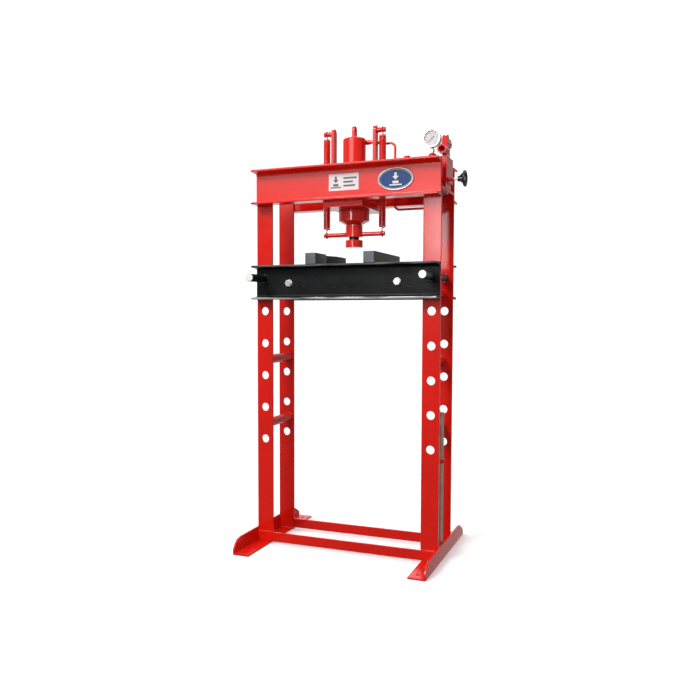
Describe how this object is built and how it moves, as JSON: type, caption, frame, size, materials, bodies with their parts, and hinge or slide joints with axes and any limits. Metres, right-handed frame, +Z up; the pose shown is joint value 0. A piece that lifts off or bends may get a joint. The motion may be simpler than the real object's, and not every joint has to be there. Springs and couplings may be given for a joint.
{
  "type": "hydraulic shop press",
  "caption": "Floor-standing H-frame hydraulic shop press with hand pump, gauge, return springs, pinned channel bed and two V press blocks.",
  "frame": {"origin": "on the floor, midway between the four legs, at the centre of the floor anchor holes", "axes": "+X towards the pump end, +Y to the rear, +Z up along the ram axis"},
  "size_m": [0.868, 0.66, 1.742],
  "materials": {
    "frame_paint": "glossy red enamel over welded steel, soft orange peel, worn at the edges",
    "beam_paint": "glossy red enamel on rolled channel",
    "cylinder_paint": "glossy red enamel on turned steel",
    "pump_paint": "glossy red enamel on a cast and machined pump",
    "bed_paint": "black paint on rolled channel, rubbed bright along the flange edges",
    "zinc": "zinc plated steel",
    "pin_steel": "dark turned steel with bright faced ends",
    "block_steel": "gunmetal grey sawn steel",
    "rod_chrome": "hard chromed and ground steel",
    "seal_rubber": "black nitrile",
    "gauge_steel": "polished stainless steel",
    "dial_white": "white printed aluminium dial",
    "gauge_glass": "clear flat glass",
    "needle_black": "black enamel",
    "plate_white": "white vinyl plate",
    "badge_blue": "blue enamelled oval with a silver rim",
    "wheel_black": "black moulded plastic"
  },
  "bodies": {
    "root": {"leg_front_left": "frame_paint", "leg_front_right": "frame_paint", "leg_rear_left": "frame_paint", "leg_rear_right": "frame_paint", "foot_left": "frame_paint", "foot_right": "frame_paint", "base_bars": "frame_paint", "tie_rods": "frame_paint", "top_beam_front": "beam_paint", "top_beam_rear": "beam_paint", "cylinder_plate": "frame_paint", "spring_post_left": "frame_paint", "spring_post_right": "frame_paint", "cylinder_barrel": "cylinder_paint", "cylinder_gland": "cylinder_paint", "rod_seal": "seal_rubber", "lifting_eye": "frame_paint", "port_fitting": "cylinder_paint", "pressure_pipe": "cylinder_paint", "pipe_nuts": "zinc", "oil_reservoir": "pump_paint", "filler_plug": "pump_paint", "pump_shelf": "frame_paint", "pump_body": "pump_paint", "pump_bolts": "zinc", "plunger_gland": "zinc", "check_valve_balls": "rod_chrome", "valve_boss": "pump_paint", "gauge_adapter": "pump_paint", "gauge_case": "gauge_steel", "gauge_bezel": "gauge_steel", "gauge_dial": "dial_white", "gauge_glass": "gauge_glass", "rating_plate": "plate_white", "oval_badge": "badge_blue", "handle_ring": "frame_paint", "bed_beam_front": "bed_paint", "bed_beam_rear": "bed_paint", "bed_spacers": "bed_paint", "bed_bolts": "zinc", "bed_washers": "zinc", "bed_nuts": "zinc", "return_spring_left": "cylinder_paint", "return_spring_right": "cylinder_paint"},
    "ram": {"piston": "rod_chrome", "piston_seal": "seal_rubber", "ram_rod": "rod_chrome", "ram_head": "cylinder_paint", "spring_crossbar": "cylinder_paint"},
    "pin_left": {"support_pin_left": "pin_steel"},
    "pin_right": {"support_pin_right": "pin_steel"},
    "block_left": {"press_block_left": "block_steel"},
    "block_right": {"press_block_right": "block_steel"},
    "lever": {"pump_lever": "pump_paint", "lever_pins": "zinc"},
    "plunger": {"pump_plunger": "rod_chrome"},
    "valve": {"release_spindle": "zinc", "release_handwheel": "wheel_black"},
    "needle": {"gauge_needle": "needle_black"},
    "handle": {"pump_handle": "zinc"}
  },
  "joints": [
    {"name": "ram_slide", "type": "slide", "parent": "root", "child": "ram", "axis": [0, 0, -1], "range_m": [0, 0.07], "stiffness_N_per_m": 3000, "springref_m": -0.06, "deforming": ["return_spring_left", "return_spring_right"]},
    {"name": "support_pin_left_pull", "type": "slide", "parent": "root", "child": "pin_left", "axis": [0, -1, 0], "range_m": [0, 0.28]},
    {"name": "support_pin_right_pull", "type": "slide", "parent": "root", "child": "pin_right", "axis": [0, -1, 0], "range_m": [0, 0.28]},
    {"name": "press_block_left_slide", "type": "slide", "parent": "root", "child": "block_left", "axis": [-1, 0, 0], "range_m": [0, 0.1]},
    {"name": "press_block_right_slide", "type": "slide", "parent": "root", "child": "block_right", "axis": [1, 0, 0], "range_m": [0, 0.1]},
    {"name": "pump_lever_rock", "type": "hinge", "parent": "root", "child": "lever", "pos_m": [0.382, 0.032, 1.642], "axis": [-1, 0, 0], "range_deg": [0, 24]},
    {"name": "pump_plunger_slide", "type": "slide", "parent": "root", "child": "plunger", "axis": [0, 0, 1], "range_m": [0, 0.0175]},
    {"name": "release_valve_turn", "type": "hinge", "parent": "root", "child": "valve", "pos_m": [0.398, -0.045, 1.493], "axis": [1, 0, 0], "range_deg": [0, 360]},
    {"name": "gauge_needle_turn", "type": "hinge", "parent": "root", "child": "needle", "pos_m": [0.322, 0.002, 1.667], "axis": [0, 1, 0], "range_deg": [0, 270], "stiffness_Nm_per_rad": 0.01, "springref_deg": -5.73},
    {"name": "pump_handle_lift", "type": "slide", "parent": "root", "child": "handle", "axis": [0, 0, 1], "range_m": [0, 0.3]}
  ],
  "couplings": [
    {"joint": "pump_plunger_slide", "follows": "pump_lever_rock", "m_per_rad": 0.0414}
  ]
}
